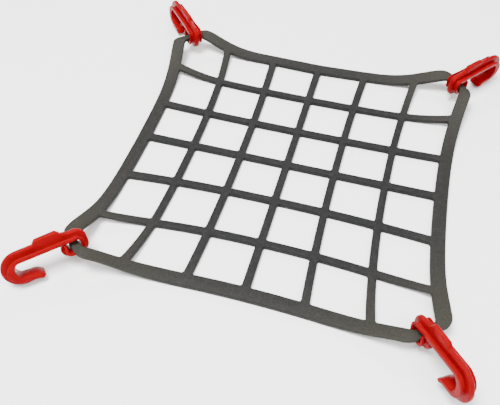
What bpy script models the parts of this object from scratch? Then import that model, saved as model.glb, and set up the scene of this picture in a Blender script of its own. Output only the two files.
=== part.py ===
"""Luggage net: one square sheet of moulded rubber strands with a plastic hook on each corner.

The net is a six by six grid of square holes inside a wider rim. Each corner of the rim is cut
off by a short diagonal bar, and the eye of a hook closes round that bar. The middle of the net
lies flat and its four corners curl up, each by its own amount. Three hooks stand on the bend of
their J and the near right one is held a little higher by its eye's grip on the bar. Every J opens
towards the net.

Sizes are in millimetres and are turned to metres where a mesh is made. The origin is in the
middle of the net, on the surface that it lies on. X points right, Y away and Z up.
"""
import math

import bmesh
import bpy
from mathutils import Euler, Matrix, Vector

MM = 0.001                     # metres in a millimetre

# The net: strands, rim and how the grid bows
CELLS = 6                      # holes along each side
HALF_CELLS = CELLS // 2
LINE_AT = (0.0, 45.7, 93.7, 144.7)   # distance of each strand's middle from the net's middle
STRAND_WIDTH = 6.2
RIM_WIDTH = 11.2
BAR_WIDTH = 7.2                # diagonal bar across each corner
THICKNESS = 3.6
EDGE_CHAMFER = 0.8
BOW_POWER = 2.34               # how late the sides spread towards the corners
BOW_SIDEWAYS = 0.355           # millimetres at one cell from the middle
DRAW_POWER = 3                 # how late a corner is drawn out of the even grid
HOLE_FILLET = 1.7
HOLE_STEPS = 3                 # faces along each side of a hole
SHARP_TURN = math.radians(25)  # an upright edge that turns more than this is rounded
BEND_CUT = 3.6                 # length taken each way off the outer bends beside a bar
BEND_SHARE = 0.97              # share of a bar's x times y past which a bend is an outer one

# The corners' curl
CURL_STARTS = 0.15             # share of the corner's x times y at which the sheet leaves the floor
CURL_POWER = 5.0

# Cross-section of a hook, outwards from its inner face
HOOK_WIDTH = 12.4
SIDE_RIB_WIDTH = 2.3
MIDDLE_RIB_WIDTH = 3.8
EYE = dict(web=3.2, side=4.8, middle=5.9)
SHANK = dict(web=4.2, side=6.0, middle=7.6)
TIP = dict(web=2.6, side=3.2, middle=3.6)

# Side view of a hook, from the middle of its eye along the shank
EYE_HALF_LENGTH = 5.5
EYE_DEPTH = 9.4
EYE_CORNER = 2.6
SLOT = 1.3                     # opening of the eye under the shank, where the bar snaps in
SHANK_LENGTH = 46.4            # eye's middle to the J's centre
J_RADIUS = 8.0
J_TURN = 176.0                 # degrees
J_LIMB = 10.8
TIP_LENGTH = 5.4
TIP_FLARE = 24.0               # degrees that the tip turns away from the shank
PAD_FROM = 6.0
PAD_TO = 31.0
PAD_SLOPE = 3.0
PAD_TOP = 11.8
PAD_WIDTH = 6.4

# One row for each corner: its sides, bow in y, how far its tip is drawn out in x and y, reach of
# the bar from the middle and height of the bar's middle. The hook's place along the bar, turn
# from the diagonal, slope towards the J, lean, and depth of the bar in the eye.
CORNER_COLUMNS = ("name", "side_x", "side_y", "bow_y", "draw_x", "draw_y", "reach", "height",
                  "slide", "turn", "slope", "lean", "depth")
CORNER_ROWS = (
    ("near_left", -1, -1, 0.50, 0.0, -2.2, 208.0, 22.2, 1.7, -5.5, -3.9, 15.0, 4.6),
    ("near_right", 1, -1, 0.44, 3.0, -5.0, 206.5, 16.0, -2.4, -10.5, 20.0, -2.5, 5.6),
    ("far_left", -1, 1, 0.25, 0.0, 0.0, 201.5, 19.4, -0.7, -3.5, -2.7, 0.0, 6.7),
    ("far_right", 1, 1, 0.17, 0.0, 3.8, 202.0, 19.0, -2.7, 7.5, -1.3, 5.0, 6.0),
)
CORNERS = [dict(zip(CORNER_COLUMNS, row)) for row in CORNER_ROWS]

RUBBER = dict(name="rubber_moulded", color=(0.078, 0.076, 0.068, 1.0), roughness=0.72)
PLASTIC = dict(name="plastic_red", color=(0.62, 0.004, 0.003, 1.0), roughness=0.28)


def clear_scene():
    for obj in list(bpy.context.scene.objects):
        bpy.data.objects.remove(obj, do_unlink=True)


def new_collection(name):
    collection = bpy.data.collections.new(name)
    bpy.context.scene.collection.children.link(collection)
    return collection


def make_material(spec):
    material = bpy.data.materials.new(spec["name"])
    material.use_nodes = True
    shader = material.node_tree.nodes["Principled BSDF"]
    shader.inputs["Base Color"].default_value = spec["color"]
    shader.inputs["Roughness"].default_value = spec["roughness"]
    shader.inputs["Metallic"].default_value = 0.0
    return material


def corner_of(x, y):
    """Return the row of the corner that a place belongs to."""
    side_x = 1 if x > 0 else -1
    side_y = 1 if y > 0 else -1
    return next(c for c in CORNERS if c["side_x"] == side_x and c["side_y"] == side_y)


def line_distance(count):
    """Distance of a strand line from the middle, also for places between two lines."""
    below = min(int(count), HALF_CELLS - 1)
    return LINE_AT[below] + (count - below) * (LINE_AT[below + 1] - LINE_AT[below])


def place(u, v):
    """Turn a place counted in cells from the middle into millimetres on the flat net."""
    corner = corner_of(u, v)
    across, along = abs(u), abs(v)
    x = line_distance(across) + BOW_SIDEWAYS * across * along ** BOW_POWER
    y = line_distance(along) + corner["bow_y"] * along * across ** BOW_POWER
    drawn = (across * along / HALF_CELLS ** 2) ** DRAW_POWER
    x += corner["draw_x"] * drawn
    y += corner["draw_y"] * drawn
    return Vector((math.copysign(x, u), math.copysign(y, v)))


def lift(x, y):
    """Height that the curl adds at a place: none in the middle, the bar's height at a corner."""
    corner = corner_of(x, y)
    share = 2.0 * abs(x * y) / corner["reach"] ** 2
    rise = max(0.0, (share - CURL_STARTS) / (1.0 - CURL_STARTS))
    bar_lift = corner["height"] - THICKNESS / 2.0
    return bar_lift * rise ** CURL_POWER * (1.0 + CURL_POWER * (1.0 - rise))


def half_width(line):
    return (RIM_WIDTH if abs(line) == HALF_CELLS else STRAND_WIDTH) / 2.0


def diagonal_count(side_x, side_y, distance):
    """Cells from the middle, both ways, at which the diagonal has gone a distance."""
    low, high = 0.0, 1.5 * HALF_CELLS
    for _ in range(40):
        middle = (low + high) / 2.0
        if place(side_x * middle, side_y * middle).length < distance:
            low = middle
        else:
            high = middle
    return low


def count_at(distance):
    """Cells from the middle at which a distance is reached: the reverse of line_distance."""
    below = max(index for index in range(HALF_CELLS) if LINE_AT[index] <= distance)
    return below + (distance - LINE_AT[below]) / (LINE_AT[below + 1] - LINE_AT[below])


def grid_stops():
    """Places, in cells, where the grid has a row or column: strand edges and steps over holes."""
    half = [count_at(half_width(0))]
    for line in range(1, HALF_CELLS + 1):
        edge = count_at(LINE_AT[line] - half_width(line))
        start = half[-1]
        half += [start + (edge - start) * step / HOLE_STEPS for step in range(1, HOLE_STEPS + 1)]
        half.append(count_at(LINE_AT[line] + half_width(line)))
    return [-stop for stop in reversed(half)] + half


def is_over_hole(index):
    """Tell whether the strip of the grid that starts at a stop lies over a row of holes."""
    return index % (HOLE_STEPS + 1) != 0


def corner_places(corner, stops):
    """Places, in cells, of the grid points that make a corner's diagonal bar."""
    outer, inner = abs(stops[0]), abs(stops[1])
    start = abs(stops[HOLE_STEPS + 1])
    bar_inside = 2.0 * diagonal_count(corner["side_x"], corner["side_y"], corner["reach"] - BAR_WIDTH / 2.0)
    bar_outside = 2.0 * diagonal_count(corner["side_x"], corner["side_y"], corner["reach"] + BAR_WIDTH / 2.0)
    bend_in, bend_out = bar_inside - inner, bar_outside - outer
    places = {
        (0, 0): (bar_outside / 2.0, bar_outside / 2.0),
        (1, 1): (bar_inside / 2.0, bar_inside / 2.0),
        (0, 1): (outer, bend_out),
        (1, 2): (inner, bend_in),
        (0, 2): (outer, start + (bend_out - start) * 0.75),
        (0, 3): (outer, start + (bend_out - start) * 0.4),
        (1, 3): (inner, start + (bend_in - start) * 0.5),
    }
    mirrored = {(row, column): (y, x) for (column, row), (x, y) in places.items()}
    return {**places, **mirrored}


def net_place(column, row, stops):
    """Flat place in millimetres of one point of the grid, with the corners cut off."""
    last = len(stops) - 1
    u, v = stops[column], stops[row]
    near_end = (min(column, last - column), min(row, last - row))
    corner = corner_of(u, v)
    moved = corner_places(corner, stops).get(near_end)
    if moved:
        u, v = corner["side_x"] * moved[0], corner["side_y"] * moved[1]
    return place(u, v)


def flat_net_faces(shape, stops):
    """Lay a plane grid, move its points to the net's lines and take the holes out."""
    count = len(stops)
    bmesh.ops.create_grid(shape, x_segments=count - 1, y_segments=count - 1, size=0.5)
    shape.verts.ensure_lookup_table()
    index_of = {}
    for vert in shape.verts:
        column = round((vert.co.x + 0.5) * (count - 1))
        row = round((vert.co.y + 0.5) * (count - 1))
        index_of[vert] = (column, row)
    holes = []
    for face in shape.faces:
        column = min(index_of[vert][0] for vert in face.verts)
        row = min(index_of[vert][1] for vert in face.verts)
        if is_over_hole(column) and is_over_hole(row):
            holes.append(face)
    for vert, (column, row) in index_of.items():
        flat = net_place(column, row, stops)
        vert.co = (flat.x * MM, flat.y * MM, 0.0)
    bmesh.ops.delete(shape, geom=holes, context="FACES")


def is_upright(edge):
    return abs(edge.verts[0].co.z - edge.verts[1].co.z) > THICKNESS * MM / 2.0


def is_outer_bend(x, y):
    return 2.0 * abs(x * y) > BEND_SHARE * corner_of(x, y)["reach"] ** 2


def round_upright_edges(shape):
    """Round the holes' corners and, more widely, the two outer bends beside each bar."""
    small, wide = [], []
    for edge in shape.edges:
        if is_upright(edge) and edge.calc_face_angle(0.0) > SHARP_TURN:
            foot = edge.verts[0].co / MM
            (wide if is_outer_bend(foot.x, foot.y) else small).append(edge)
    bmesh.ops.bevel(shape, geom=small, offset=HOLE_FILLET * MM, offset_type="OFFSET", segments=2,
                    profile=0.5, affect="EDGES")
    wide = [edge for edge in wide if edge.is_valid]
    bmesh.ops.bevel(shape, geom=wide, offset=BEND_CUT * MM, offset_type="OFFSET", segments=3,
                    profile=0.5, affect="EDGES")


def chamfer_rims(shape):
    """Take the sharpness off every edge between a flat face and a side wall."""
    rims = []
    for edge in shape.edges:
        levels = sorted(abs(face.normal.z) for face in edge.link_faces)
        if len(levels) == 2 and levels[0] < 0.1 and levels[1] > 0.9:
            rims.append(edge)
    bmesh.ops.bevel(shape, geom=rims, offset=EDGE_CHAMFER * MM, offset_type="OFFSET", segments=1,
                    profile=0.5, affect="EDGES")


def build_net(collection):
    """Lay out the flat net, give it its thickness, round its edges and curl its corners up."""
    shape = bmesh.new()
    flat_net_faces(shape, grid_stops())
    extruded = bmesh.ops.extrude_face_region(shape, geom=list(shape.faces), use_keep_orig=True)
    top = [item for item in extruded["geom"] if isinstance(item, bmesh.types.BMVert)]
    bmesh.ops.translate(shape, verts=top, vec=(0.0, 0.0, THICKNESS * MM))
    bmesh.ops.recalc_face_normals(shape, faces=shape.faces)
    shape.normal_update()
    round_upright_edges(shape)
    shape.normal_update()
    chamfer_rims(shape)
    for vert in shape.verts:
        vert.co.z += lift(vert.co.x / MM, vert.co.y / MM) * MM
    bmesh.ops.recalc_face_normals(shape, faces=shape.faces)
    mesh = bpy.data.meshes.new("net")
    shape.to_mesh(mesh)
    shape.free()
    net = bpy.data.objects.new("net", mesh)
    collection.objects.link(net)
    mesh.materials.append(make_material(RUBBER))
    return net


def blend_section(first, second, share):
    return {key: first[key] + (second[key] - first[key]) * share for key in first}


def arc_stations(centre, radius, start, stop, pieces, section_from, section_to):
    """Stations along an arc of the inner face, whose outside faces away from the centre."""
    stations = []
    for piece in range(pieces + 1):
        share = piece / pieces
        angle = math.radians(start + (stop - start) * share)
        outward = Vector((math.cos(angle), math.sin(angle)))
        section = blend_section(section_from, section_to, share)
        stations.append((Vector(centre) + outward * radius, outward, section))
    return stations


def hook_stations():
    """Follow a hook's inner face: slot, round the eye, along the shank, round the J, to the tip."""
    inset = EYE_HALF_LENGTH - EYE_CORNER
    low = EYE_CORNER - EYE_DEPTH
    stations = [(Vector((EYE_HALF_LENGTH, -SLOT)), Vector((1.0, 0.0)), EYE)]
    stations += arc_stations((inset, low), EYE_CORNER, 0.0, -90.0, 3, EYE, EYE)
    stations += arc_stations((-inset, low), EYE_CORNER, -90.0, -180.0, 3, EYE, EYE)
    stations += arc_stations((-inset, -EYE_CORNER), EYE_CORNER, -180.0, -270.0, 3, EYE, EYE)
    stations.append((Vector((PAD_FROM, 0.0)), Vector((0.0, 1.0)), SHANK))
    stations += arc_stations((SHANK_LENGTH, -J_RADIUS), J_RADIUS, 90.0, 90.0 - J_TURN, 9, SHANK, SHANK)
    bend_end, outward, _ = stations[-1]
    along = Vector((outward.y, -outward.x))
    limb_end = bend_end + along * J_LIMB
    flared = Matrix.Rotation(math.radians(TIP_FLARE), 2) @ along
    tip_outward = Matrix.Rotation(math.radians(TIP_FLARE), 2) @ outward
    middle_outward = (outward + tip_outward).normalized()
    stations.append((limb_end, middle_outward, blend_section(SHANK, TIP, 0.45)))
    stations.append((limb_end + flared * TIP_LENGTH, tip_outward, TIP))
    return stations


def section_ring(station):
    """Twelve points round the ribbed cross-section at one station, in the hook's own axes."""
    base, outward, section = station
    half = HOOK_WIDTH / 2.0
    groove_outer = half - SIDE_RIB_WIDTH
    groove_inner = MIDDLE_RIB_WIDTH / 2.0
    right_half = (
        (half, 0.0),
        (half, section["side"]),
        (groove_outer, section["side"]),
        (groove_outer, section["web"]),
        (groove_inner, section["web"]),
        (groove_inner, section["middle"]),
    )
    left_half = tuple((-across, height) for across, height in reversed(right_half))
    ring = []
    for across, height in right_half + left_half:
        point = base + outward * height
        ring.append(Vector((point.x, across, point.y)) * MM)
    return ring


def add_loft(shape, rings):
    """Join a row of rings with faces and close both ends."""
    rows = [[shape.verts.new(point) for point in ring] for ring in rings]
    count = len(rows[0])
    for row, following in zip(rows, rows[1:]):
        for index in range(count):
            after = (index + 1) % count
            shape.faces.new((row[index], row[after], following[after], following[index]))
    shape.faces.new(rows[0])
    shape.faces.new(rows[-1])
    bmesh.ops.recalc_face_normals(shape, faces=shape.faces)


def new_mesh_object(name, rings, collection):
    shape = bmesh.new()
    add_loft(shape, rings)
    mesh = bpy.data.meshes.new(name)
    shape.to_mesh(mesh)
    shape.free()
    obj = bpy.data.objects.new(name, mesh)
    collection.objects.link(obj)
    return obj


def pad_rings():
    """The raised pad on the shank: a low block with sloping ends, sunk into the shank."""
    root = SHANK["web"] / 2.0
    top = (
        (PAD_FROM, root), (PAD_FROM, SHANK["side"]), (PAD_FROM + PAD_SLOPE, PAD_TOP),
        (PAD_TO - PAD_SLOPE, PAD_TOP), (PAD_TO, SHANK["side"]), (PAD_TO, root),
    )
    return [[Vector((along, across, up)) * MM for along, up in top]
            for across in (-PAD_WIDTH / 2.0, PAD_WIDTH / 2.0)]


def hook_mesh(parts, tools):
    """Build one hook in its own axes: X along the shank, Z out of its back."""
    hook = new_mesh_object("hook_shape", [section_ring(s) for s in hook_stations()], parts)
    pad = new_mesh_object("hook_pad", pad_rings(), tools)
    pad.hide_render = True
    pad.display_type = "WIRE"
    join = hook.modifiers.new("pad", "BOOLEAN")
    join.operation = "UNION"
    join.solver = "EXACT"
    join.object = pad
    bpy.context.view_layer.update()
    evaluated = hook.evaluated_get(bpy.context.evaluated_depsgraph_get())
    mesh = bpy.data.meshes.new_from_object(evaluated)
    mesh.name = "hook"
    bpy.data.objects.remove(hook, do_unlink=True)
    bpy.data.objects.remove(pad, do_unlink=True)
    mesh.materials.clear()
    mesh.materials.append(make_material(PLASTIC))
    return mesh


def place_hook(corner, mesh, collection):
    """Hang a hook on the bar of its corner, at its own slope, turn and lean."""
    side_x, side_y = corner["side_x"], corner["side_y"]
    diagonal = Vector((side_x, side_y, 0.0)).normalized()
    along_bar = Vector((-diagonal.y, diagonal.x, 0.0))
    bar = diagonal * corner["reach"] + along_bar * corner["slide"] + Vector((0.0, 0.0, corner["height"]))
    heading = math.atan2(side_y, side_x) + math.radians(corner["turn"])
    turned = Euler((math.radians(corner["lean"]), -math.radians(corner["slope"]), heading), "XYZ")
    eye_top = bar + turned.to_matrix() @ Vector((0.0, 0.0, corner["depth"]))
    hook = bpy.data.objects.new("hook_" + corner["name"], mesh)
    hook.rotation_euler = turned
    hook.location = eye_top * MM
    collection.objects.link(hook)
    return hook


def main():
    clear_scene()
    parts = new_collection("luggage_net")
    tools = new_collection("cutters")
    build_net(parts)
    mesh = hook_mesh(parts, tools)
    for corner in CORNERS:
        place_hook(corner, mesh, parts)


main()
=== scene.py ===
"""Looks of a luggage net: a moulded rubber net lying flat, with a plastic hook on each corner.

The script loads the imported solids, models the finely rounded net and hooks in their place, gives
them their finishes, and sets a pale floor, soft studio light and the camera. Sizes and angles are
in millimetres and degrees, unless a docstring says otherwise, and are turned to metres and radians
where Blender takes them.
"""
import logging
import math
from dataclasses import dataclass
from enum import Enum
from typing import Callable, Sequence

import bmesh
import bpy
from mathutils import Euler, Matrix, Vector


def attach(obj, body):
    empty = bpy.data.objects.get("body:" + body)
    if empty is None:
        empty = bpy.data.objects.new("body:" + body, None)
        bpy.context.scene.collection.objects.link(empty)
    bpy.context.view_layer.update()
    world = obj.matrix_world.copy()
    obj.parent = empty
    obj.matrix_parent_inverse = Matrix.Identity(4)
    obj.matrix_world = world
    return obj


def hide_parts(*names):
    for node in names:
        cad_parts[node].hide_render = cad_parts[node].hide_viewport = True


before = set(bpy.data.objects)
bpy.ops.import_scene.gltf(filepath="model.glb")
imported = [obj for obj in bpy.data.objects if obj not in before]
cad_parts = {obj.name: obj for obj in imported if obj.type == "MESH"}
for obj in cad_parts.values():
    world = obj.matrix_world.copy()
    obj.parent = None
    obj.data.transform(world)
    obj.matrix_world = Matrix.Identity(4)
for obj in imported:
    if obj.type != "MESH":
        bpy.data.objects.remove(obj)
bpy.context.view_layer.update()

MM = 0.001
LOG = logging.getLogger("luggage_net")

# The finishes' patterns are counted over this length
PATTERN_RUN = 100.0
# Places of the colour mix node's sockets, several of which share a name
MIX_SHARE, MIX_FIRST, MIX_SECOND, MIX_RESULT = 0, 6, 7, 2
# Z of a face's normal: over the first where the face lies level, under the second on a wall
LEVEL_FACE, WALL_FACE = 0.9, 0.1
# Points closer together than this are one
MERGE_DISTANCE = 0.01
# A place on the diagonal is searched as far as this many times the net's half, in so many halvings
SEARCH_REACH, SEARCH_ROUNDS = 1.5, 40

MeshElement = bmesh.types.BMVert | bmesh.types.BMEdge | bmesh.types.BMFace
# A point counted in the grid's columns and rows, and a place counted in the net's cells
GridPoint = tuple[int, int]
CellPlace = tuple[float, float]


class Slot(Enum):
    """The record's material slots that the new pieces take their finish from."""

    RUBBER = "rubber_moulded"
    PLASTIC = "plastic_red"


class Element(Enum):
    """What edit mode selects: the name of the mesh's list, and of the select mode."""

    VERTICES = ("verts", "VERT")
    EDGES = ("edges", "EDGE")
    FACES = ("faces", "FACE")


def srgb(code: str) -> tuple[float, float, float, float]:
    """Turn an sRGB hex colour into linear values, along the curve of the sRGB standard.

    Args:
        code: Six hex digits, such as "4b4b49".

    Returns:
        Red, green, blue and alpha, linear and opaque.
    """
    values = []
    for start in (0, 2, 4):
        value = int(code[start:start + 2], 16) / 255.0
        values.append(value / 12.92 if value <= 0.04045 else ((value + 0.055) / 1.055) ** 2.4)
    return (*values, 1.0)


def pattern_scale(count: float) -> float:
    """Return the noise scale, which counts cells in a metre, for a count in 100 mm."""
    return count / (PATTERN_RUN * MM)


def add_node(
    tree: bpy.types.NodeTree,
    kind: str,
    settings: dict[str, object] | None = None,
    inputs: dict[str | int, object] | None = None,
) -> bpy.types.Node:
    """Add one shader node with its settings, values and links.

    Args:
        tree: The material's node tree.
        kind: Blender's name of the node type.
        settings: Properties of the node itself.
        inputs: Per socket, a value, or another node's output to link from.

    Returns:
        The new node.
    """
    made = tree.nodes.new(kind)
    for name, value in (settings or {}).items():
        setattr(made, name, value)
    for name, value in (inputs or {}).items():
        if isinstance(value, bpy.types.NodeSocket):
            tree.links.new(value, made.inputs[name])
        else:
            made.inputs[name].default_value = value
    return made


def blank_material(name: str) -> tuple[bpy.types.Material, bpy.types.NodeTree]:
    """Make a material whose node tree is empty.

    Args:
        name: The material's name.

    Returns:
        The material and its node tree.
    """
    material = bpy.data.materials.new(name)
    material.use_nodes = True
    material.node_tree.nodes.clear()
    return material, material.node_tree


def deselect_all() -> None:
    """Leave edit mode if need be and deselect every object."""
    if bpy.context.object is not None and bpy.context.object.mode != "OBJECT":
        bpy.ops.object.mode_set(mode="OBJECT")
    for item in bpy.context.selected_objects:
        item.select_set(False)


def make_active(item: bpy.types.Object) -> None:
    """Select one object alone and make it the active one.

    Args:
        item: The object.
    """
    deselect_all()
    item.select_set(True)
    bpy.context.view_layer.objects.active = item


def pick(item: bpy.types.Object, kind: Element, wanted: Callable[[MeshElement], bool]) -> None:
    """Select, in edit mode, the vertices, edges or faces that pass a test.

    Args:
        item: The object in edit mode.
        kind: What is selected.
        wanted: The test.
    """
    list_name, select_mode = kind.value
    bpy.ops.mesh.select_mode(type=select_mode)
    bpy.ops.mesh.select_all(action="DESELECT")
    shape = bmesh.from_edit_mesh(item.data)
    shape.normal_update()
    chosen = [element for element in getattr(shape, list_name) if wanted(element)]
    for element in chosen:
        element.select_set(True)
    shape.select_flush_mode()
    bmesh.update_edit_mesh(item.data)


@dataclass(frozen=True)
class MouldedRubber:
    """Compression-moulded EPDM rubber, which looks dull and nearly black, with a fine mould grain.

    Attributes:
        body: Colour of the clean rubber.
        bloom: Colour of the wax film that such rubber sweats out.
        stretched: Colour of the rubber where it is stretched.
        middle_reach, corner_reach: Distances from the net's middle at which the stretch begins to
            show, and shows in full.
        blotches, blotch_detail: Blotches of bloom in 100 mm, and how ragged they are.
        film_from, film_full: Noise values at which the film begins and is thickest.
        film_cover: How much of the rubber it hides there.
        grains, grain_detail: Grains of the mould's surface in 100 mm, and how ragged they are.
        grain_low, grain_high: Noise values of the grain's pits and tops.
        pit_shade, top_painted_light: Colour factors that paint shade in the pits and light on the tops.
        grain_strength, grain_height: How strongly the grain turns the light, and its height.
        roughness, smoother, rougher: Roughness, and how far it falls off the bloom and rises on it.
        ior: Typical value for rubber.
        specular: Low, because the grain breaks the gloss up.
    """

    name: str = "rubber_epdm_moulded"
    body: str = "171718"
    bloom: str = "292826"
    stretched: str = "282722"
    middle_reach: float = 125.0
    corner_reach: float = 200.0
    blotches: int = 19
    blotch_detail: float = 5.0
    film_from: float = 0.45
    film_full: float = 0.75
    film_cover: float = 0.5
    grains: int = 95
    grain_detail: float = 3.0
    grain_low: float = 0.3
    grain_high: float = 0.7
    pit_shade: float = 0.7
    top_painted_light: float = 1.35
    grain_strength: float = 0.5
    grain_height: float = 0.3
    roughness: float = 0.62
    smoother: float = 0.08
    rougher: float = 0.1
    ior: float = 1.52
    specular: float = 0.1

    def colour(
        self, tree: bpy.types.NodeTree, place: bpy.types.NodeSocket, bloom: bpy.types.NodeSocket,
        grain: bpy.types.NodeSocket,
    ) -> bpy.types.NodeSocket:
        """Mix the rubber's colour.

        Args:
            tree: The material's node tree.
            place: The place on the net.
            bloom: The noise of the bloom.
            grain: The noise of the grain.

        Returns:
            The colour's socket.
        """
        # Rubber pales to a warm olive where it is stretched, which is towards the corners
        away = add_node(tree, "ShaderNodeVectorMath", {"operation": "LENGTH"}, {"Vector": place})
        stretch = add_node(
            tree, "ShaderNodeMapRange",
            inputs={
                "Value": away.outputs["Value"],
                "From Min": self.middle_reach * MM, "From Max": self.corner_reach * MM,
            },
        )
        toned = add_node(
            tree, "ShaderNodeMix", {"data_type": "RGBA"},
            {
                MIX_SHARE: stretch.outputs["Result"],
                MIX_FIRST: srgb(self.body), MIX_SECOND: srgb(self.stretched),
            },
        )
        film = add_node(
            tree, "ShaderNodeMapRange",
            inputs={
                "Value": bloom, "From Min": self.film_from, "From Max": self.film_full,
                "To Max": self.film_cover,
            },
        )
        dusted = add_node(
            tree, "ShaderNodeMix", {"data_type": "RGBA"},
            {
                MIX_SHARE: film.outputs["Result"],
                MIX_FIRST: toned.outputs[MIX_RESULT], MIX_SECOND: srgb(self.bloom),
            },
        )
        # Painted shade in the grain's pits and painted light on its tops: darker where it is low, lighter
        # where high
        grain_light_and_shade = add_node(
            tree, "ShaderNodeMapRange",
            inputs={
                "Value": grain, "From Min": self.grain_low, "From Max": self.grain_high,
                "To Min": self.pit_shade, "To Max": self.top_painted_light,
            },
        )
        grain_lit_colour = add_node(
            tree, "ShaderNodeVectorMath", {"operation": "SCALE"},
            {"Vector": dusted.outputs[MIX_RESULT], "Scale": grain_light_and_shade.outputs["Result"]},
        )
        return grain_lit_colour.outputs["Vector"]

    def material(self) -> bpy.types.Material:
        """Build the material.

        Returns:
            The material.
        """
        material, tree = blank_material(self.name)
        place = add_node(tree, "ShaderNodeTexCoord").outputs["Object"]
        # Bloom: a paler film in blotches of about 5 mm
        bloom = add_node(
            tree, "ShaderNodeTexNoise",
            inputs={"Vector": place, "Scale": pattern_scale(self.blotches), "Detail": self.blotch_detail},
        ).outputs["Fac"]
        # Mould grain of about 1 mm, coarser than a real spark-eroded grain so that it shows
        # It bumps the surface, and the colour gets painted shade in its pits and painted light on its
        # tops
        grain = add_node(
            tree, "ShaderNodeTexNoise",
            inputs={"Vector": place, "Scale": pattern_scale(self.grains), "Detail": self.grain_detail},
        ).outputs["Fac"]
        dullness = add_node(
            tree, "ShaderNodeMapRange",
            inputs={
                "Value": bloom, "To Min": self.roughness - self.smoother,
                "To Max": self.roughness + self.rougher,
            },
        )
        bump = add_node(
            tree, "ShaderNodeBump",
            inputs={"Height": grain, "Strength": self.grain_strength, "Distance": self.grain_height * MM},
        )
        shader = add_node(
            tree, "ShaderNodeBsdfPrincipled",
            inputs={
                "Base Color": self.colour(tree, place, bloom, grain),
                "Roughness": dullness.outputs["Result"], "IOR": self.ior,
                "Specular IOR Level": self.specular, "Normal": bump.outputs["Normal"],
            },
        )
        add_node(tree, "ShaderNodeOutputMaterial", inputs={"Surface": shader.outputs["BSDF"]})
        return material


@dataclass(frozen=True)
class MouldedPlastic:
    """Injection-moulded polypropylene, dyed red through and through: glossy, a little waxy.

    Attributes:
        body: Its colour.
        deep: Its colour in the flow marks, where the dye lies denser.
        sheen: Colour of its highlights.
        flow_marks, flow_detail: Flow marks in 100 mm, and how ragged they are.
        ripples, ripple_detail: Ripples of the polished mould in 100 mm, and how ragged they are.
        ripple_strength, ripple_height: How strongly they turn the light, and their height.
        roughness, smoother, rougher: Roughness, and how far it falls off the flow marks and rises
            on them.
        ior: Lower than the 1.49 of polypropylene, to match weak highlights.
        specular: Lower than the usual 0.5, for the same reason.
        wax, wax_depth: Share of the light that scatters below the surface, which looks waxy, and
            how far it goes.
    """

    name: str = "polypropylene_red_moulded"
    body: str = "80040c"
    deep: str = "680108"
    sheen: str = "ff7060"
    flow_marks: int = 12
    flow_detail: float = 2.0
    ripples: int = 90
    ripple_detail: float = 2.0
    ripple_strength: float = 0.12
    ripple_height: float = 0.3
    roughness: float = 0.27
    smoother: float = 0.06
    rougher: float = 0.08
    ior: float = 1.2
    specular: float = 0.3
    wax: float = 0.08
    wax_depth: float = 2.0

    def material(self) -> bpy.types.Material:
        """Build the material.

        Returns:
            The material.
        """
        material, tree = blank_material(self.name)
        place = add_node(tree, "ShaderNodeTexCoord").outputs["Object"]
        # Flow marks where the melt slowed, about 8 mm apart
        flow = add_node(
            tree, "ShaderNodeTexNoise",
            inputs={"Vector": place, "Scale": pattern_scale(self.flow_marks), "Detail": self.flow_detail},
        ).outputs["Fac"]
        # Faint ripple of the polished mould, about 1 mm
        ripple = add_node(
            tree, "ShaderNodeTexNoise",
            inputs={"Vector": place, "Scale": pattern_scale(self.ripples), "Detail": self.ripple_detail},
        ).outputs["Fac"]
        colour = add_node(
            tree, "ShaderNodeMix", {"data_type": "RGBA"},
            {MIX_SHARE: flow, MIX_FIRST: srgb(self.body), MIX_SECOND: srgb(self.deep)},
        )
        gloss = add_node(
            tree, "ShaderNodeMapRange",
            inputs={
                "Value": flow, "To Min": self.roughness - self.smoother,
                "To Max": self.roughness + self.rougher,
            },
        )
        bump = add_node(
            tree, "ShaderNodeBump",
            inputs={
                "Height": ripple, "Strength": self.ripple_strength,
                "Distance": self.ripple_height * MM,
            },
        )
        shader = add_node(
            tree, "ShaderNodeBsdfPrincipled",
            inputs={
                "Base Color": colour.outputs[MIX_RESULT], "Roughness": gloss.outputs["Result"],
                "IOR": self.ior, "Specular IOR Level": self.specular,
                "Specular Tint": srgb(self.sheen), "Subsurface Weight": self.wax,
                "Subsurface Scale": self.wax_depth * MM, "Normal": bump.outputs["Normal"],
            },
        )
        add_node(tree, "ShaderNodeOutputMaterial", inputs={"Surface": shader.outputs["BSDF"]})
        return material


@dataclass(frozen=True)
class PaleFloor:
    """Painted studio board, which looks matt and nearly white.

    Attributes:
        body: Its colour.
        roughness: High, as of matt paint.
        specular: Low, so that the lights don't mirror in it.
    """

    name: str = "studio_board_white"
    body: str = "f4f4f3"
    roughness: float = 0.9
    specular: float = 0.1

    def material(self) -> bpy.types.Material:
        """Build the material.

        Returns:
            The material.
        """
        material, tree = blank_material(self.name)
        shader = add_node(
            tree, "ShaderNodeBsdfPrincipled",
            inputs={
                "Base Color": srgb(self.body), "Roughness": self.roughness,
                "Specular IOR Level": self.specular,
            },
        )
        add_node(tree, "ShaderNodeOutputMaterial", inputs={"Surface": shader.outputs["BSDF"]})
        return material


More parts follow.
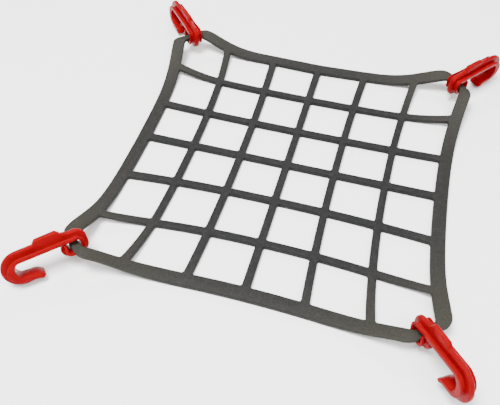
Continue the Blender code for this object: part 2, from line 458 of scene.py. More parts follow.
@dataclass(frozen=True)
class Corner:
    """How one corner of the net lies, and how its hook hangs there.

    Attributes:
        name: The corner's name, as in the names of the nodes.
        side_x, side_y: 1 on the right or far half of the net, -1 on the left or near half.
        bow_y: How much the corner's near or far rim is bowed inwards.
        draw_x, draw_y: How much further the corner is drawn out along each axis.
        bend_x, bend_y: How much further out the diagonal bar's bends lie, the one at the side rim
            and the one at the near or far rim.
        reach: Distance of the diagonal bar from the net's middle.
        height: Height of the middle of the bar's thickness.
        slide: How far the hook hangs from the bar's middle, counter-clockwise seen from above.
        turn: Turn of the hook from the diagonal, counter-clockwise seen from above.
        slope: How much its shank rises outwards.
        lean: How much it is rolled about its shank.
        depth: Distance from the bar's middle to the inside of the eye, towards the hook's back.
        pull: How far the eye's middle lies outwards from the bar.
        tilt: How much higher the bar's end at the near or far rim stands, and its other end lower.
    """

    name: str
    side_x: int
    side_y: int
    bow_y: float
    draw_x: float
    draw_y: float
    bend_x: float
    bend_y: float
    reach: float
    height: float
    slide: float
    turn: float
    slope: float
    lean: float
    depth: float
    pull: float = 0.0
    tilt: float = 0.0

    def bar(self) -> Vector:
        """Find the place of the diagonal bar under the hook's middle.

        Returns:
            The place.
        """
        diagonal = Vector((self.side_x, self.side_y, 0.0)).normalized()
        along = Vector((-diagonal.y, diagonal.x, 0.0))
        return diagonal * self.reach + along * self.slide + Vector((0.0, 0.0, self.height))

    def hook_place(self) -> Matrix:
        """Find how the hook lies in the world.

        Returns:
            Its place in metres and its turn.
        """
        heading = math.atan2(self.side_y, self.side_x) + math.radians(self.turn)
        turned = Euler((math.radians(self.lean), -math.radians(self.slope), heading), "XYZ").to_matrix()
        eye_top = self.bar() + turned @ Vector((self.pull, 0.0, self.depth))
        return Matrix.Translation(eye_top * MM) @ turned.to_4x4()


CORNERS = (
    Corner(
        name="near_left", side_x=-1, side_y=-1, bow_y=0.50, draw_x=0.0, draw_y=-2.2,
        bend_x=2.0, bend_y=-1.5, reach=208.0, height=22.2, tilt=1.3,
        slide=0.9, turn=-1.8, slope=-3.1, lean=18.0, depth=5.0, pull=-0.1,
    ),
    Corner(
        name="near_right", side_x=1, side_y=-1, bow_y=0.44, draw_x=3.0, draw_y=-5.0,
        bend_x=2.0, bend_y=-2.0, reach=206.5, height=16.0,
        slide=-3.6, turn=-9.1, slope=15.6, lean=-5.6, depth=6.6, pull=-0.7,
    ),
    Corner(
        name="far_left", side_x=-1, side_y=1, bow_y=0.25, draw_x=0.0, draw_y=0.0,
        bend_x=2.5, bend_y=0.5, reach=201.5, height=19.4,
        slide=-0.8, turn=-3.0, slope=-0.9, lean=3.7, depth=6.7, pull=0.7,
    ),
    Corner(
        name="far_right", side_x=1, side_y=1, bow_y=0.17, draw_x=0.0, draw_y=3.8,
        bend_x=0.5, bend_y=2.0, reach=202.0, height=19.0,
        slide=-1.5, turn=5.1, slope=-0.5, lean=1.8, depth=6.6, pull=0.5,
    ),
)


@dataclass(frozen=True)
class Rim:
    """How one rim of the lying net strays from an even bow, at each of the seven strand lines.

    Attributes:
        push: How far the rim lies further out.
        slip: How far the strand's foot is moved along the rim.
    """

    push: tuple[float, ...]
    slip: tuple[float, ...] = (0.0,) * 7


LEFT_RIM = Rim(
    push=(-0.4, -1.5, -0.6, -0.4, -0.3, -0.4, -0.2),
    slip=(0.0, 0.0, 0.0, 0.0, 0.0, 2.0, 0.0),
)
RIGHT_RIM = Rim(
    push=(0.2, 1.0, 1.2, 0.2, -0.8, -1.1, -0.3),
    slip=(0.0, 0.0, 0.0, 0.0, 0.0, 1.2, 0.0),
)
NEAR_RIM = Rim(
    push=(-0.5, -1.4, 0.5, 1.1, 1.3, 1.4, 0.2),
    slip=(0.0, -2.2, -0.4, 0.0, 0.0, 0.0, 0.0),
)
FAR_RIM = Rim(push=(-0.4, -2.2, 0.5, -0.4, 1.0, 0.6, 0.4))
SIDE_RIMS = {-1: LEFT_RIM, 1: RIGHT_RIM}
END_RIMS = {-1: NEAR_RIM, 1: FAR_RIM}


def read_between(values: Sequence[float], place: float) -> float:
    """Read a row of values at any place between them, along a smooth curve.

    Args:
        values: The row, set one apart.
        place: Where to read, from zero at the first value.

    Returns:
        The value there.
    """
    place = min(max(place, 0.0), len(values) - 1.0)
    index = min(int(place), len(values) - 2)
    share = place - index
    start, end = values[index], values[index + 1]
    leaving = (end - values[max(index - 1, 0)]) / 2.0
    arriving = (values[min(index + 2, len(values) - 1)] - start) / 2.0
    bulge = leaving * (1.0 - share) - arriving * share + (end - start) * (2.0 * share - 1.0)
    return start + (end - start) * share + bulge * share * (1.0 - share)


def corner_of(x: float, y: float) -> Corner:
    """Find the corner that a place belongs to.

    Args:
        x: To the right of the net's middle.
        y: Behind the net's middle.

    Returns:
        The corner.
    """
    side_x = 1 if x > 0 else -1
    side_y = 1 if y > 0 else -1
    return next(corner for corner in CORNERS if (corner.side_x, corner.side_y) == (side_x, side_y))


@dataclass
class NetSheet:
    """The moulded net: strands round square holes, a wider rim, and a bar across each corner.

    Attributes:
        half_cells: Holes from the middle line to the rim.
        line_at: Distance of each strand line from the middle, the rim's last.
        strand_width, rim_width, bar_width: Widths of a strand, the rim and a diagonal bar.
        thickness, bar_thickness: Thickness of the net, and of a diagonal bar.
        bow_power: Power by which the rims' bow grows towards the corners.
        bow_sideways: How much the side rims are bowed inwards.
        draw_power: Power by which the drawing out of a corner grows towards it.
        curl_starts: Share of the way to the bar at which the corner begins to curl up.
        curl_power: Power by which the curl grows towards the bar.
        bar_half: How much further a bar's end lies one way than the other, as a share of its reach.
        hole_steps: Grid faces across a hole.
        hole_fillet, fillet_segments: Rounding of a hole's corners, and its segments.
        bend_start: Where the rim's outer edge has its next point after a bend, as a share of the
            stretch from there to the strand.
        bend_cut, bend_segments: Rounding of the outer bends between rim and bar.
        sharp_bend: Least angle between two walls that is rounded.
        outer_bend_share: Share of the way to the bar beyond which a bend is an outer one.
        edge_round, edge_segments: Rounding of the upper and lower edges.
        smooth_angle: Angle up to which faces are shaded as one.
        flat_size: Side of the net as moulded, in metres.
        flat_area: Its area without the holes, in square metres.
    """

    half_cells: int = 3
    line_at: tuple[float, ...] = (0.0, 45.7, 93.7, 144.7)
    strand_width: float = 6.8
    rim_width: float = 12.1
    bar_width: float = 7.2
    thickness: float = 5.0
    bar_thickness: float = 3.6
    bow_power: float = 2.34
    bow_sideways: float = 0.355
    draw_power: int = 3
    curl_starts: float = 0.15
    curl_power: float = 5.0
    bar_half: float = 0.12
    hole_steps: int = 8
    hole_fillet: float = 1.7
    fillet_segments: int = 5
    bend_start: float = 0.28
    bend_cut: float = 6.6
    bend_segments: int = 8
    sharp_bend: float = 25.0
    outer_bend_share: float = 0.97
    edge_round: float = 0.9
    edge_segments: int = 3
    smooth_angle: float = 35.0
    flat_size: float = 0.305
    flat_area: float = 0.0325

    def line_distance(self, count: float) -> float:
        """Distance of a strand line from the middle, also for places between two lines."""
        below = min(int(count), self.half_cells - 1)
        return self.line_at[below] + (count - below) * (self.line_at[below + 1] - self.line_at[below])

    def count_at(self, distance: float) -> float:
        """Cells from the middle at which a distance is reached: the reverse of line_distance."""
        below = max(index for index in range(self.half_cells) if self.line_at[index] <= distance)
        return below + (distance - self.line_at[below]) / (self.line_at[below + 1] - self.line_at[below])

    def place(self, u: float, v: float) -> Vector:
        """Turn a place counted in cells into one on the flat net.

        Args:
            u: Cells to the right of the middle.
            v: Cells behind the middle.

        Returns:
            The place.
        """
        corner = corner_of(u, v)
        across, along = abs(u), abs(v)
        drawn = (across * along / self.half_cells ** 2) ** self.draw_power
        x = self.line_distance(across) + self.bow_sideways * across * along ** self.bow_power
        y = self.line_distance(along) + corner.bow_y * along * across ** self.bow_power
        x += corner.draw_x * drawn
        y += corner.draw_y * drawn
        # The strays begin at the last strand line before the rim
        last_strand = self.half_cells - 1.0
        at_side, at_end = max(0.0, across - last_strand), max(0.0, along - last_strand)
        side_rim, end_rim = SIDE_RIMS[corner.side_x], END_RIMS[corner.side_y]
        x += at_side * read_between(side_rim.push, v + self.half_cells)
        y += at_end * read_between(end_rim.push, u + self.half_cells)
        slip_x = at_end * read_between(end_rim.slip, u + self.half_cells)
        slip_y = at_side * read_between(side_rim.slip, v + self.half_cells)
        return Vector((math.copysign(x, u) + slip_x, math.copysign(y, v) + slip_y))

    def curled(self, x: float, y: float) -> float:
        """How far a place has come from the flat middle, 0, to its corner's bar, 1."""
        share = 2.0 * abs(x * y) / corner_of(x, y).reach ** 2
        return max(0.0, (share - self.curl_starts) / (1.0 - self.curl_starts))

    def thinned(self, x: float, y: float) -> float:
        """Share of the thickness that is left at a place, where the rubber is drawn out."""
        return 1.0 - (1.0 - self.bar_thickness / self.thickness) * min(1.0, self.curled(x, y))

    def lift(self, x: float, y: float) -> float:
        """Work out the height that the curl adds.

        Args:
            x: To the right of the net's middle.
            y: Behind the net's middle.

        Returns:
            The height.
        """
        corner = corner_of(x, y)
        rise = self.curled(x, y)
        bar_lift = corner.height - self.bar_thickness / 2.0
        along_bar = (abs(y) - abs(x)) / corner.reach
        bend = max(-self.bar_half, min(self.bar_half, along_bar)) / self.bar_half
        twist = corner.tilt * bend * min(1.0, rise) ** self.curl_power
        # Up to the bar it rises by the power, and beyond the bar it goes on nearly straight
        return bar_lift * rise ** self.curl_power * (1.0 + self.curl_power * (1.0 - rise)) + twist

    def half_width(self, line: int) -> float:
        """Half the width of a strand, or of the rim on the last line."""
        return (self.rim_width if line == self.half_cells else self.strand_width) / 2.0

    def stops(self) -> list[float]:
        """Space out the grid's rows and columns: strand edges, and steps over the holes.

        Returns:
            Their places in cells from the middle.
        """
        half = [self.count_at(self.half_width(0))]
        for line in range(1, self.half_cells + 1):
            edge = self.count_at(self.line_at[line] - self.half_width(line))
            start = half[-1]
            for step in range(1, self.hole_steps + 1):
                half.append(start + (edge - start) * step / self.hole_steps)
            half.append(self.count_at(self.line_at[line] + self.half_width(line)))
        return [-stop for stop in reversed(half)] + half

    def diagonal_count(self, corner: Corner, distance: float) -> float:
        """Find the place on a corner's diagonal that lies at a distance from the middle.

        Args:
            corner: The corner.
            distance: The distance.

        Returns:
            Cells from the middle, the same both ways.
        """
        low, high = 0.0, SEARCH_REACH * self.half_cells
        for _ in range(SEARCH_ROUNDS):
            middle = (low + high) / 2.0
            if self.place(corner.side_x * middle, corner.side_y * middle).length < distance:
                low = middle
            else:
                high = middle
        return low

    def corner_places(self, corner: Corner, stops: Sequence[float]) -> dict[GridPoint, CellPlace]:
        """Place the grid points that make a corner's diagonal bar.

        Args:
            corner: The corner.
            stops: The grid's rows and columns.

        Returns:
            Per grid point, counted from the corner, its place in cells, without signs.
        """
        outer, inner = abs(stops[0]), abs(stops[1])
        steps = self.hole_steps
        start = abs(stops[steps + 1])
        bar_inside = 2.0 * self.diagonal_count(corner, corner.reach - self.bar_width / 2.0)
        bar_outside = 2.0 * self.diagonal_count(corner, corner.reach + self.bar_width / 2.0)
        cell = self.line_at[-1] - self.line_at[-2]
        halves = []
        for moved in (corner.bend_x / cell, corner.bend_y / cell):
            bend_in, bend_out = bar_inside - inner + moved, bar_outside - outer + moved
            half = {(0, 1): (outer, bend_out), (1, 2): (inner, bend_in)}
            for step in range(steps - 1):
                share = self.bend_start + (1.0 - self.bend_start) * step / (steps - 1)
                half[(0, 2 + step)] = (outer, bend_out + (start - bend_out) * share)
            for step in range(steps - 2):
                half[(1, 3 + step)] = (inner, bend_in + (start - bend_in) * (step + 1) / (steps - 1))
            halves.append(half)
        mirrored = {(row, column): (y, x) for (column, row), (x, y) in halves[1].items()}
        middle = {(0, 0): (bar_outside / 2.0,) * 2, (1, 1): (bar_inside / 2.0,) * 2}
        return {**halves[0], **mirrored, **middle}

    def lay_grid(self, item: bpy.types.Object, stops: Sequence[float]) -> None:
        """Move a plane grid's points to the net's lines and delete the faces over its holes.

        Args:
            item: The grid, one metre wide, which is left in edit mode.
            stops: Its rows and columns.
        """
        last = len(stops) - 1
        moved = {corner: self.corner_places(corner, stops) for corner in CORNERS}
        grid_points = {}
        for vertex in item.data.vertices:
            # The grid runs from -0.5 to 0.5 both ways
            column, row = (round((value + 0.5) * last) for value in vertex.co[:2])
            grid_points[vertex.index] = (column, row)
            u, v = stops[column], stops[row]
            corner = corner_of(u, v)
            place = moved[corner].get((min(column, last - column), min(row, last - row)))
            if place:
                u, v = corner.side_x * place[0], corner.side_y * place[1]
            flat = self.place(u, v)
            vertex.co = (flat.x * MM, flat.y * MM, 0.0)
        period = self.hole_steps + 1

        def over_hole(face: bmesh.types.BMFace) -> bool:
            """Tell whether a face lies over a hole: neither its column nor its row is a strand."""
            column = min(grid_points[vertex.index][0] for vertex in face.verts)
            row = min(grid_points[vertex.index][1] for vertex in face.verts)
            return column % period != 0 and row % period != 0

        bpy.ops.object.mode_set(mode="EDIT")
        pick(item, Element.FACES, over_hole)
        bpy.ops.mesh.delete(type="FACE")

    def thicken(self) -> None:
        """Give the flat faces in edit mode their thickness, upwards, and turn all faces outwards."""
        bpy.ops.mesh.select_all(action="SELECT")
        upwards = (0.0, 0.0, self.thickness * MM)
        bpy.ops.mesh.extrude_region_move(TRANSFORM_OT_translate={"value": upwards})
        bpy.ops.mesh.select_all(action="SELECT")
        bpy.ops.mesh.normals_make_consistent(inside=False)

    def is_upright_bend(self, edge: bmesh.types.BMEdge) -> bool:
        """Tell whether an edge stands upright where a wall turns sharply."""
        drop = abs(edge.verts[0].co.z - edge.verts[1].co.z)
        turn = edge.calc_face_angle(0.0)
        return drop > self.thickness * MM / 2.0 and turn > math.radians(self.sharp_bend)

    def is_outer(self, edge: bmesh.types.BMEdge) -> bool:
        """Tell whether an upright edge is on the outside of a corner."""
        foot = edge.verts[0].co / MM
        return 2.0 * abs(foot.x * foot.y) > self.outer_bend_share * corner_of(foot.x, foot.y).reach ** 2

    def round_edges(self, item: bpy.types.Object) -> None:
        """Round the upright corners of holes and bends, then the edges above and below.

        Args:
            item: The net in edit mode.
        """
        pick(item, Element.EDGES, lambda edge: self.is_upright_bend(edge) and not self.is_outer(edge))
        bpy.ops.mesh.bevel(offset=self.hole_fillet * MM, segments=self.fillet_segments, affect="EDGES")
        pick(item, Element.EDGES, lambda edge: self.is_upright_bend(edge) and self.is_outer(edge))
        bpy.ops.mesh.bevel(offset=self.bend_cut * MM, segments=self.bend_segments, affect="EDGES")

        def at_top_or_bottom(edge: bmesh.types.BMEdge) -> bool:
            """Tell whether an edge lies between a wall and a level face."""
            levels = sorted(abs(face.normal.z) for face in edge.link_faces)
            return len(levels) == 2 and levels[0] < WALL_FACE and levels[1] > LEVEL_FACE

        pick(item, Element.EDGES, at_top_or_bottom)
        bpy.ops.mesh.bevel(offset=self.edge_round * MM, segments=self.edge_segments, affect="EDGES")

    def build(self) -> bpy.types.Object:
        """Model the net.

        Returns:
            The net.
        """
        stops = self.stops()
        cells = len(stops) - 1
        deselect_all()
        bpy.ops.mesh.primitive_grid_add(x_subdivisions=cells, y_subdivisions=cells, size=1.0)
        item = bpy.context.object
        item.name = "net_moulding"
        self.lay_grid(item, stops)
        self.thicken()
        self.round_edges(item)
        bpy.ops.object.mode_set(mode="OBJECT")
        for vertex in item.data.vertices:
            x, y = vertex.co.x / MM, vertex.co.y / MM
            vertex.co.z = vertex.co.z * self.thinned(x, y) + self.lift(x, y) * MM
        bpy.ops.object.shade_smooth_by_angle(angle=math.radians(self.smooth_angle))
        return item

    def dress(self, item: bpy.types.Object, finish: MouldedRubber) -> None:
        """Give the net its finish and tie it to the solid it stands for.

        Args:
            item: The net.
            finish: Its finish.
        """
        item.data.materials.clear()
        item.data.materials.append(finish.material())
        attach(item, "root")
        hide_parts("net")


@dataclass(frozen=True)
class TipStep:
    """One step of the strip towards the end of the tip.

    Attributes:
        length: Length of the step.
        width: Share of the width that is kept.
        height: Share of the height that is kept.
    """

    length: float
    width: float
    height: float


@dataclass
class HookMoulding:
    """One hook: a ribbed strip that goes round the eye, along the shank and round the J.

    In its own axes, which start at the middle of the eye's top inside, X runs out along the shank
    and Z out of its back.

    Attributes:
        width: Width on the shank.
        side_rib: Width of the bead along each edge.
        middle_rib: Width of the middle rib.
        draft: How much further the ribs' walls reach at their feet.
        crown: Chamfer of the middle rib.
        web: Thickness of the strip in the grooves, round the eye.
        side: Height of the beads, round the eye.
        middle: Height of the middle rib, round the eye.
        eye_spread: The eye's width over the shank's.
        slot_end_share: Share of the strip's height that its end at the slot has.
        shank_growth: The strip's height on the shank over that round the eye.
        bend_growth: The strip's height round the J over that on the shank.
        rib_round, rib_segments: Rounding of the ribs' edges, and its segments.
        straight_angle: Points of the section at which it turns by less are left out.
        eye_half, eye_depth: Half the eye's length inside, and its depth inside.
        eye_corner, eye_steps: Radius of the eye's corners inside, and the steps round one.
        slot_gap: How far below the eye's top the strip starts.
        throat: How much the shank is thickened inwards.
        eye_throat: How much the strip over the eye is thickened inwards.
        shank_length: From the eye's middle to the J's centre.
        bend_radius, bend_turn, bend_steps: Radius of the J inside, how far it goes round, and steps.
        limb, limb_steps: Length of the straight limb after the J, and steps along it.
        limb_shrink: Share of the height that is kept at each of them.
        flare_radius, flare, flare_steps: Radius by which the tip turns outwards, how far, and steps.
        tip: The last steps.
        bend_fill: Share of the J's inner radius that is left at its far end.
        fill_margin: How far beyond the J's inner face the filling reaches.
        end_corners: The strip's two cut ends are the faces that have more corners than this.
        end_round, end_segments: Rounding of the two cut ends.
        pad_from, pad_to: Where the pad starts and ends on the shank.
        pad_slope: How far each of its ends slopes in.
        pad_top, pad_width: Height of its top, and its width.
        pad_taper: Share of its width that its top has.
        pad_sink: How far below the middle rib's top its upright walls end.
        pad_round, pad_segments: Rounding of its edges.
        smooth_angle: Angle up to which faces are shaded as one.
    """

    width: float = 12.9
    side_rib: float = 1.5
    middle_rib: float = 4.2
    draft: float = 0.3
    crown: float = 0.8
    web: float = 1.5
    side: float = 2.8
    middle: float = 6.2
    eye_spread: float = 1.12
    slot_end_share: float = 0.6
    shank_growth: float = 1.26
    bend_growth: float = 1.08
    rib_round: float = 0.42
    rib_segments: int = 3
    straight_angle: float = 1.0
    eye_half: float = 5.8
    eye_depth: float = 10.9
    eye_corner: float = 2.6
    eye_steps: int = 7
    slot_gap: float = 1.9
    throat: float = 0.8
    eye_throat: float = 0.4
    shank_length: float = 45.0
    bend_radius: float = 8.0
    bend_turn: float = 175.0
    bend_steps: int = 20
    limb: float = 7.7
    limb_steps: int = 2
    limb_shrink: float = 0.94
    flare_radius: float = 9.0
    flare: float = 40.0
    flare_steps: int = 5
    tip: tuple[TipStep, ...] = (
        TipStep(length=1.0, width=1.0, height=0.85),
        TipStep(length=1.0, width=0.97, height=0.85),
        TipStep(length=0.8, width=0.9, height=0.85),
        TipStep(length=0.5, width=0.78, height=0.75),
    )
    bend_fill: float = 0.68
    fill_margin: float = 0.2
    end_corners: int = 8
    end_round: float = 0.35
    end_segments: int = 2
    pad_from: float = 6.0
    pad_to: float = 31.0
    pad_slope: float = 3.6
    pad_top: float = 11.8
    pad_width: float = 5.0
    pad_taper: float = 0.9
    pad_sink: float = 0.4
    pad_round: float = 1.1
    pad_segments: int = 4
    smooth_angle: float = 40.0

    def section(self) -> bpy.types.Object:
        """Make the ribbed section as one flat face at the slot.

        Returns:
            The section, selected in edit mode.
        """
        half, rib = self.width / 2.0, self.middle_rib / 2.0
        profile = (
            (-half, self.side), (-half + self.side_rib, self.side),
            (-half + self.side_rib + self.draft, self.web), (-rib - self.draft, self.web),
            (-rib, self.middle - self.crown), (-rib + self.crown, self.middle),
            (rib - self.crown, self.middle), (rib, self.middle - self.crown),
            (rib + self.draft, self.web), (half - self.side_rib - self.draft, self.web),
            (half - self.side_rib, self.side), (half, self.side),
        )
        spans = len(profile) - 1
        deselect_all()
        bpy.ops.mesh.primitive_grid_add(x_subdivisions=spans, y_subdivisions=1, size=1.0)
        item = bpy.context.object
        for vertex in item.data.vertices:
            # The grid runs from -0.5 to 0.5 along the profile
            across, height = profile[round((vertex.co.x + 0.5) * spans)]
            out = height * self.slot_end_share if vertex.co.y > 0.0 else 0.0
            vertex.co = Vector((self.eye_half + out, across * self.eye_spread, -self.slot_gap)) * MM
        bpy.ops.object.mode_set(mode="EDIT")
        bpy.ops.mesh.select_all(action="SELECT")
        bpy.ops.mesh.dissolve_faces()
        bpy.ops.mesh.dissolve_limited(angle_limit=math.radians(self.straight_angle))
        bpy.ops.mesh.select_all(action="SELECT")
        bpy.ops.mesh.bevel(offset=self.rib_round * MM, segments=self.rib_segments, affect="VERTICES")
        bpy.ops.mesh.select_mode(type="FACE")
        bpy.ops.mesh.select_all(action="SELECT")
        return item

    @staticmethod
    def run(x: float, z: float) -> None:
        """Extrude the selected end by a step."""
        bpy.ops.mesh.extrude_region_move(TRANSFORM_OT_translate={"value": (x * MM, 0.0, z * MM)})

    @staticmethod
    def turn(x: float, z: float, angle: float, steps: int) -> None:
        """Spin the selected end downwards round a centre, by an angle."""
        bpy.ops.mesh.spin(
            steps=steps, angle=math.radians(angle), center=(x * MM, 0.0, z * MM), axis=(0.0, -1.0, 0.0)
        )

    @staticmethod
    def grow(x: float, z: float, factors: tuple[float, float, float]) -> None:
        """Scale the selected end about a place."""
        bpy.ops.transform.resize(value=factors, center_override=(x * MM, 0.0, z * MM))

    def go_round_eye(self) -> None:
        """Take the section from the slot round the eye and back over it, to the pad's start."""
        low = self.eye_corner - self.eye_depth
        flat = self.eye_half - self.eye_corner
        self.run(0.0, low + self.slot_gap)
        self.grow(self.eye_half, low, (1.0 / self.slot_end_share, 1.0, 1.0))
        self.turn(flat, low, 90.0, self.eye_steps)
        self.run(-2.0 * flat, 0.0)
        self.turn(-flat, low, 90.0, self.eye_steps)
        self.run(0.0, self.eye_depth - 2.0 * self.eye_corner)
        self.turn(-flat, -self.eye_corner, 90.0, self.eye_steps)
        self.run(flat, 0.0)
        self.grow(0.0, self.middle, (1.0, 1.0, 1.0 + self.eye_throat / self.middle))
        self.run(self.pad_from, 0.0)
        self.grow(0.0, self.middle, (1.0, 1.0, self.middle / (self.middle + self.eye_throat)))

    def go_along_shank(self) -> None:
        """Take the section, now narrower and taller, along the shank and round the J."""
        top = self.middle * self.shank_growth
        self.grow(0.0, 0.0, (1.0, 1.0 / self.eye_spread, self.shank_growth))
        self.grow(0.0, top, (1.0, 1.0, 1.0 + self.throat / top))
        self.run(self.shank_length - self.pad_from, 0.0)
        self.grow(0.0, top, (1.0, 1.0, 1.0 / (1.0 + self.throat / top)))
        self.grow(0.0, 0.0, (1.0, 1.0, self.bend_growth))
        self.turn(self.shank_length, -self.bend_radius, self.bend_turn, self.bend_steps)

    def go_to_tip(self) -> None:
        """Thin the strip from the end of the J to the flared tip."""
        down = math.radians(self.bend_turn)
        outward = Vector((math.sin(down), math.cos(down)))
        along = Vector((outward.y, -outward.x))
        end = Vector((self.shank_length, -self.bend_radius)) + outward * self.bend_radius
        step = along * self.limb / self.limb_steps
        for _ in range(self.limb_steps):
            end += step
            self.run(step.x, step.y)
            self.grow(end.x, end.y, (self.limb_shrink, 1.0, self.limb_shrink))
        centre = end + outward * self.flare_radius
        self.turn(centre.x, centre.y, -self.flare, self.flare_steps)
        turned = Matrix.Rotation(math.radians(self.flare), 2)
        end = centre - (turned @ outward) * self.flare_radius
        for tip_step in self.tip:
            step = (turned @ along) * tip_step.length
            end += step
            self.run(step.x, step.y)
            self.grow(end.x, end.y, (tip_step.height, tip_step.width, tip_step.height))

    def close_ends(self, item: bpy.types.Object) -> None:
        """Merge doubles, turn the faces outwards and round both cut ends.

        Args:
            item: The strip in edit mode.
        """
        bpy.ops.mesh.select_all(action="SELECT")
        bpy.ops.mesh.remove_doubles(threshold=MERGE_DISTANCE * MM)
        bpy.ops.mesh.normals_make_consistent(inside=False)

        def at_end(edge: bmesh.types.BMEdge) -> bool:
            """Tell whether an edge goes round a cut end."""
            return any(len(face.verts) > self.end_corners for face in edge.link_faces)

        pick(item, Element.EDGES, at_end)
        bpy.ops.mesh.bevel(offset=self.end_round * MM, segments=self.end_segments, affect="EDGES")

    def fill_bend(self, item: bpy.types.Object) -> None:
        """Thicken the J inwards at its far end, where it takes the load.

        Args:
            item: The strip in edit mode.
        """
        centre = Vector((self.shank_length, 0.0, -self.bend_radius)) * MM
        limit = (self.bend_radius + self.fill_margin) * MM

        def is_inside(vertex: bmesh.types.BMVert) -> bool:
            """Tell whether a point lies on the inner face of the J's far half."""
            spoke = vertex.co - centre
            return spoke.x > 0.0 and math.hypot(spoke.x, spoke.z) < limit

        pick(item, Element.VERTICES, is_inside)
        bpy.ops.transform.resize(value=(self.bend_fill, 1.0, 1.0), center_override=centre)

    def pad(self) -> bpy.types.Object:
        """Model the raised pad: a block with sloping ends and rounded edges.

        Returns:
            The pad.
        """
        length = self.pad_to - self.pad_from
        root = self.web / 2.0
        shoulder = self.middle * self.shank_growth - self.pad_sink
        deselect_all()
        bpy.ops.mesh.primitive_cube_add(
            size=1.0, location=((self.pad_from + length / 2.0) * MM, 0.0, (root + shoulder) / 2.0 * MM),
            scale=(length * MM, self.pad_width * MM, (shoulder - root) * MM),
        )
        item = bpy.context.object
        bpy.ops.object.transform_apply(location=True, rotation=True, scale=True)
        bpy.ops.object.mode_set(mode="EDIT")
        pick(item, Element.FACES, lambda face: face.normal.z > LEVEL_FACE)
        self.run(0.0, self.pad_top - shoulder)
        bpy.ops.transform.resize(value=(1.0 - 2.0 * self.pad_slope / length, self.pad_taper, 1.0))
        above = self.side * MM
        pick(item, Element.EDGES, lambda edge: max(vertex.co.z for vertex in edge.verts) > above)
        bpy.ops.mesh.bevel(offset=self.pad_round * MM, segments=self.pad_segments, affect="EDGES")
        bpy.ops.object.mode_set(mode="OBJECT")
        return item

    def build(self) -> bpy.types.Object:
        """Model one hook in its own axes.

        Returns:
            The hook.
        """
        item = self.section()
        item.name = "hook_moulding"
        self.go_round_eye()
        self.go_along_shank()
        self.go_to_tip()
        self.close_ends(item)
        self.fill_bend(item)
        bpy.ops.object.mode_set(mode="OBJECT")
        pad = self.pad()
        make_active(item)
        join = item.modifiers.new("pad", "BOOLEAN")
        join.operation = "UNION"
        join.solver = "EXACT"
        join.object = pad
        bpy.ops.object.modifier_apply(modifier=join.name)
        bpy.data.objects.remove(pad, do_unlink=True)
        bpy.ops.object.shade_smooth_by_angle(angle=math.radians(self.smooth_angle))
        return item

    def hang(
        self, moulding: bpy.types.Object, corner: Corner, material: bpy.types.Material
    ) -> bpy.types.Object:
        """Copy the hook to a corner, with its own mesh, and tie it to the solid it stands for.

        Args:
            moulding: The hook in its own axes.
            corner: Where the copy hangs.
            material: Its finish.

        Returns:
            The copy.
        """
        make_active(moulding)
        bpy.ops.object.duplicate(linked=False)
        item = bpy.context.object
        item.name = f"hook_moulding_{corner.name}"
        item.matrix_world = corner.hook_place()
        bpy.ops.object.transform_apply(location=True, rotation=True, scale=True)
        item.data.materials.clear()
        item.data.materials.append(material)
        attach(item, "root")
        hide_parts(f"hook_{corner.name}")
        return item


@dataclass(frozen=True)
class SoftLight:
    """One square soft light that looks at the net.

    Attributes:
        name: The light's name.
        power: Its power in watts.
        size: Its side in metres.
        place: Where it stands, in metres.
    """

    name: str
    power: float
    size: float
    place: tuple[float, float, float]

    def switch_on(self) -> None:
        """Add the light to the scene."""
        deselect_all()
        bpy.ops.object.light_add(type="AREA", location=self.place)
        lamp = bpy.context.object
        lamp.name = self.name
        lamp.data.energy = self.power
        lamp.data.size = self.size
        lamp.rotation_euler = (-Vector(self.place)).to_track_quat("-Z", "Y").to_euler()


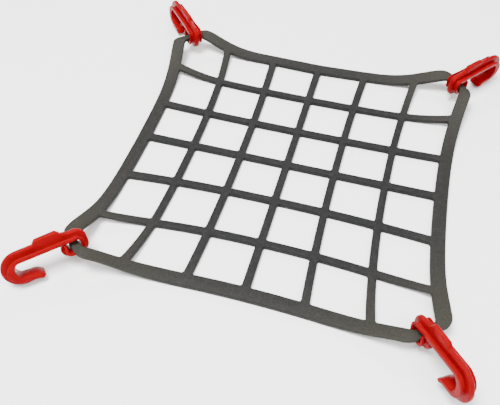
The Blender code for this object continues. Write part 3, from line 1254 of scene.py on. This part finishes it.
@dataclass
class Studio:
    """The pale floor, the soft lights and the camera.

    Attributes:
        floor_size, floor_level: The floor's side and height in metres, just under the net.
        room_colour, room_strength: The light that comes from all round.
        lights: The soft lights.
        lens, film_width: The camera's focal length and the width of its picture.
        nearest: Where its view begins, in metres from it.
        eye: Where it stands, in metres.
        right, ahead: Its direction to the right, and the one that it looks in.
    """

    floor_size: float = 8.0
    floor_level: float = -0.0003
    room_colour: str = "ffffff"
    room_strength: float = 0.7
    lights: tuple[SoftLight, ...] = (
        SoftLight(name="key_softbox", power=105.0, size=0.7, place=(-0.35, -0.35, 1.8)),
        SoftLight(name="back_softbox", power=18.0, size=0.4, place=(-0.3, 1.5, 1.3)),
        SoftLight(name="fill_softbox", power=45.0, size=1.4, place=(0.8, -0.8, 1.7)),
    )
    lens: float = 45.42
    film_width: float = 36.0
    nearest: float = 0.01
    eye: tuple[float, float, float] = (0.0774, -0.3943, 0.4515)
    right: tuple[float, float, float] = (0.9616, 0.2744, -0.0025)
    ahead: tuple[float, float, float] = (-0.1722, 0.5963, -0.7841)

    def floor(self) -> None:
        """Lay the floor."""
        deselect_all()
        bpy.ops.mesh.primitive_plane_add(size=self.floor_size, location=(0.0, 0.0, self.floor_level))
        board = bpy.context.object
        board.name = "floor"
        bpy.ops.object.transform_apply(location=True, rotation=True, scale=True)
        board.data.materials.append(PaleFloor().material())

    def room(self) -> None:
        """Fill the room with even pale light."""
        world = bpy.data.worlds.new("studio")
        world.use_nodes = True
        background = world.node_tree.nodes["Background"]
        background.inputs["Color"].default_value = srgb(self.room_colour)
        background.inputs["Strength"].default_value = self.room_strength
        bpy.context.scene.world = world

    def camera(self) -> None:
        """Set the camera at the photograph's angle."""
        right, ahead = Vector(self.right).normalized(), Vector(self.ahead).normalized()
        up = right.cross(ahead)
        turn = Matrix((right, up, -ahead)).transposed()
        bpy.ops.object.camera_add(location=self.eye, rotation=turn.to_euler())
        camera = bpy.context.object
        camera.data.lens = self.lens
        camera.data.sensor_width = self.film_width
        camera.data.clip_start = self.nearest
        bpy.context.scene.camera = camera

    def set_up(self) -> None:
        """Make the whole studio."""
        self.floor()
        self.room()
        for light in self.lights:
            light.switch_on()
        self.camera()


def main() -> None:
    """Build the net, then the four hooks, then the studio."""
    logging.basicConfig(level=logging.INFO, format="%(name)s: %(message)s")
    net = NetSheet()
    sheet = net.build()
    net.dress(sheet, MouldedRubber())
    LOG.info("%s: %d faces", sheet.name, len(sheet.data.polygons))
    hook = HookMoulding()
    moulding = hook.build()
    plastic = MouldedPlastic().material()
    for corner in CORNERS:
        item = hook.hang(moulding, corner, plastic)
        LOG.info("%s: %d faces", item.name, len(item.data.polygons))
    bpy.data.objects.remove(moulding, do_unlink=True)
    Studio().set_up()


if __name__ == "__main__":
    main()
